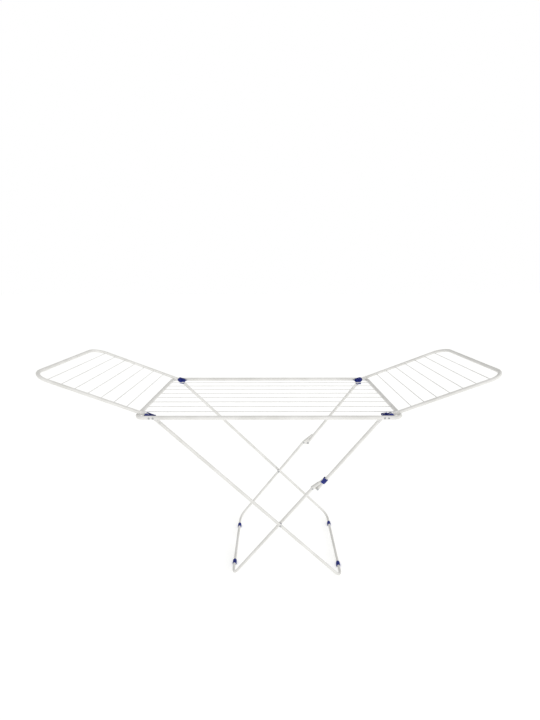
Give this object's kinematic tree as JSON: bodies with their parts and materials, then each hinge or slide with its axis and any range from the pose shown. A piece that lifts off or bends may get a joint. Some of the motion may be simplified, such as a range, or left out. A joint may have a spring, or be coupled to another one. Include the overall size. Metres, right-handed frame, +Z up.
{
  "type": "folding clothes drying rack",
  "caption": "Free-standing winged clothes airer: wired centre rack, two folding wings and crossed folding legs with a locking knee.",
  "frame": {"origin": "on the floor under the middle of the rack, at the bottom centre of the opened rack's box", "axes": "+X along the length towards the right wing and the strut side, +Y to the rear, +Z up"},
  "size_m": [1.7998, 0.554, 1.0555],
  "materials": {
    "coated_tube": "white epoxy powder coat on steel tube, semi-gloss",
    "coated_wire": "white epoxy powder coat on steel wire, semi-gloss",
    "blue_plastic": "moulded royal blue plastic, lightly textured",
    "zinc_rivet": "zinc plated steel rivets, dull"
  },
  "bodies": {
    "rack": {"rack_frame": "coated_tube", "centre_wire_1": "coated_wire", "centre_wire_2": "coated_wire", "centre_wire_3": "coated_wire", "centre_wire_4": "coated_wire", "centre_wire_5": "coated_wire", "centre_wire_6": "coated_wire", "centre_wire_7": "coated_wire", "centre_wire_8": "coated_wire", "hinge_front_left": "blue_plastic", "hinge_rear_left": "blue_plastic", "hinge_front_right": "blue_plastic", "hinge_rear_right": "blue_plastic", "wing_pins": "blue_plastic", "leg_pins": "zinc_rivet", "hinge_rivets": "zinc_rivet"},
    "left_wing": {"left_wing_frame": "coated_tube", "left_wing_wire_1": "coated_wire", "left_wing_wire_2": "coated_wire", "left_wing_wire_3": "coated_wire", "left_wing_wire_4": "coated_wire", "left_wing_wire_5": "coated_wire", "left_wing_wire_6": "coated_wire", "left_wing_wire_7": "coated_wire"},
    "right_wing": {"right_wing_frame": "coated_tube", "right_wing_wire_1": "coated_wire", "right_wing_wire_2": "coated_wire", "right_wing_wire_3": "coated_wire", "right_wing_wire_4": "coated_wire", "right_wing_wire_5": "coated_wire", "right_wing_wire_6": "coated_wire", "right_wing_wire_7": "coated_wire"},
    "outer_legs": {"outer_leg_frame": "coated_tube", "outer_foot_front": "blue_plastic", "outer_foot_rear": "blue_plastic", "crossing_rivets": "zinc_rivet", "crossing_washers": "blue_plastic"},
    "struts": {"strut_front": "coated_tube", "strut_rear": "coated_tube", "lock_clip": "blue_plastic"},
    "inner_legs": {"inner_leg_frame": "coated_tube", "inner_foot_front": "blue_plastic", "inner_foot_rear": "blue_plastic", "inner_crossing_rivets": "zinc_rivet", "knee_plate_front": "coated_tube", "knee_plate_rear": "coated_tube", "knee_pins": "zinc_rivet", "plate_rivets": "zinc_rivet"}
  },
  "joints": [
    {"name": "left_wing_fold", "type": "hinge", "parent": "rack", "child": "left_wing", "pos_m": [-0.478, 0, 0.885], "axis": [0, 1, 0], "range_deg": [0, 157.5]},
    {"name": "right_wing_fold", "type": "hinge", "parent": "rack", "child": "right_wing", "pos_m": [0.478, 0, 0.885], "axis": [0, -1, 0], "range_deg": [0, 157.5]},
    {"name": "leg_fold", "type": "hinge", "parent": "rack", "child": "outer_legs", "pos_m": [-0.4605, 0, 0.874], "axis": [0, -1, 0], "range_deg": [0, 45.17]},
    {"name": "strut_swing", "type": "hinge", "parent": "rack", "child": "struts", "pos_m": [0.4605, 0, 0.874], "axis": [0, 1, 0], "range_deg": [0, 54.6]},
    {"name": "knee_break", "type": "hinge", "parent": "struts", "child": "inner_legs", "pos_m": [0.2121, 0, 0.52447], "axis": [0, -1, 0], "range_deg": [0, 180.6]}
  ],
  "couplings": [
    {"joint": "strut_swing", "follows": "leg_fold", "ratio": 1.2087},
    {"joint": "knee_break", "follows": "leg_fold", "ratio": 3.9981}
  ]
}
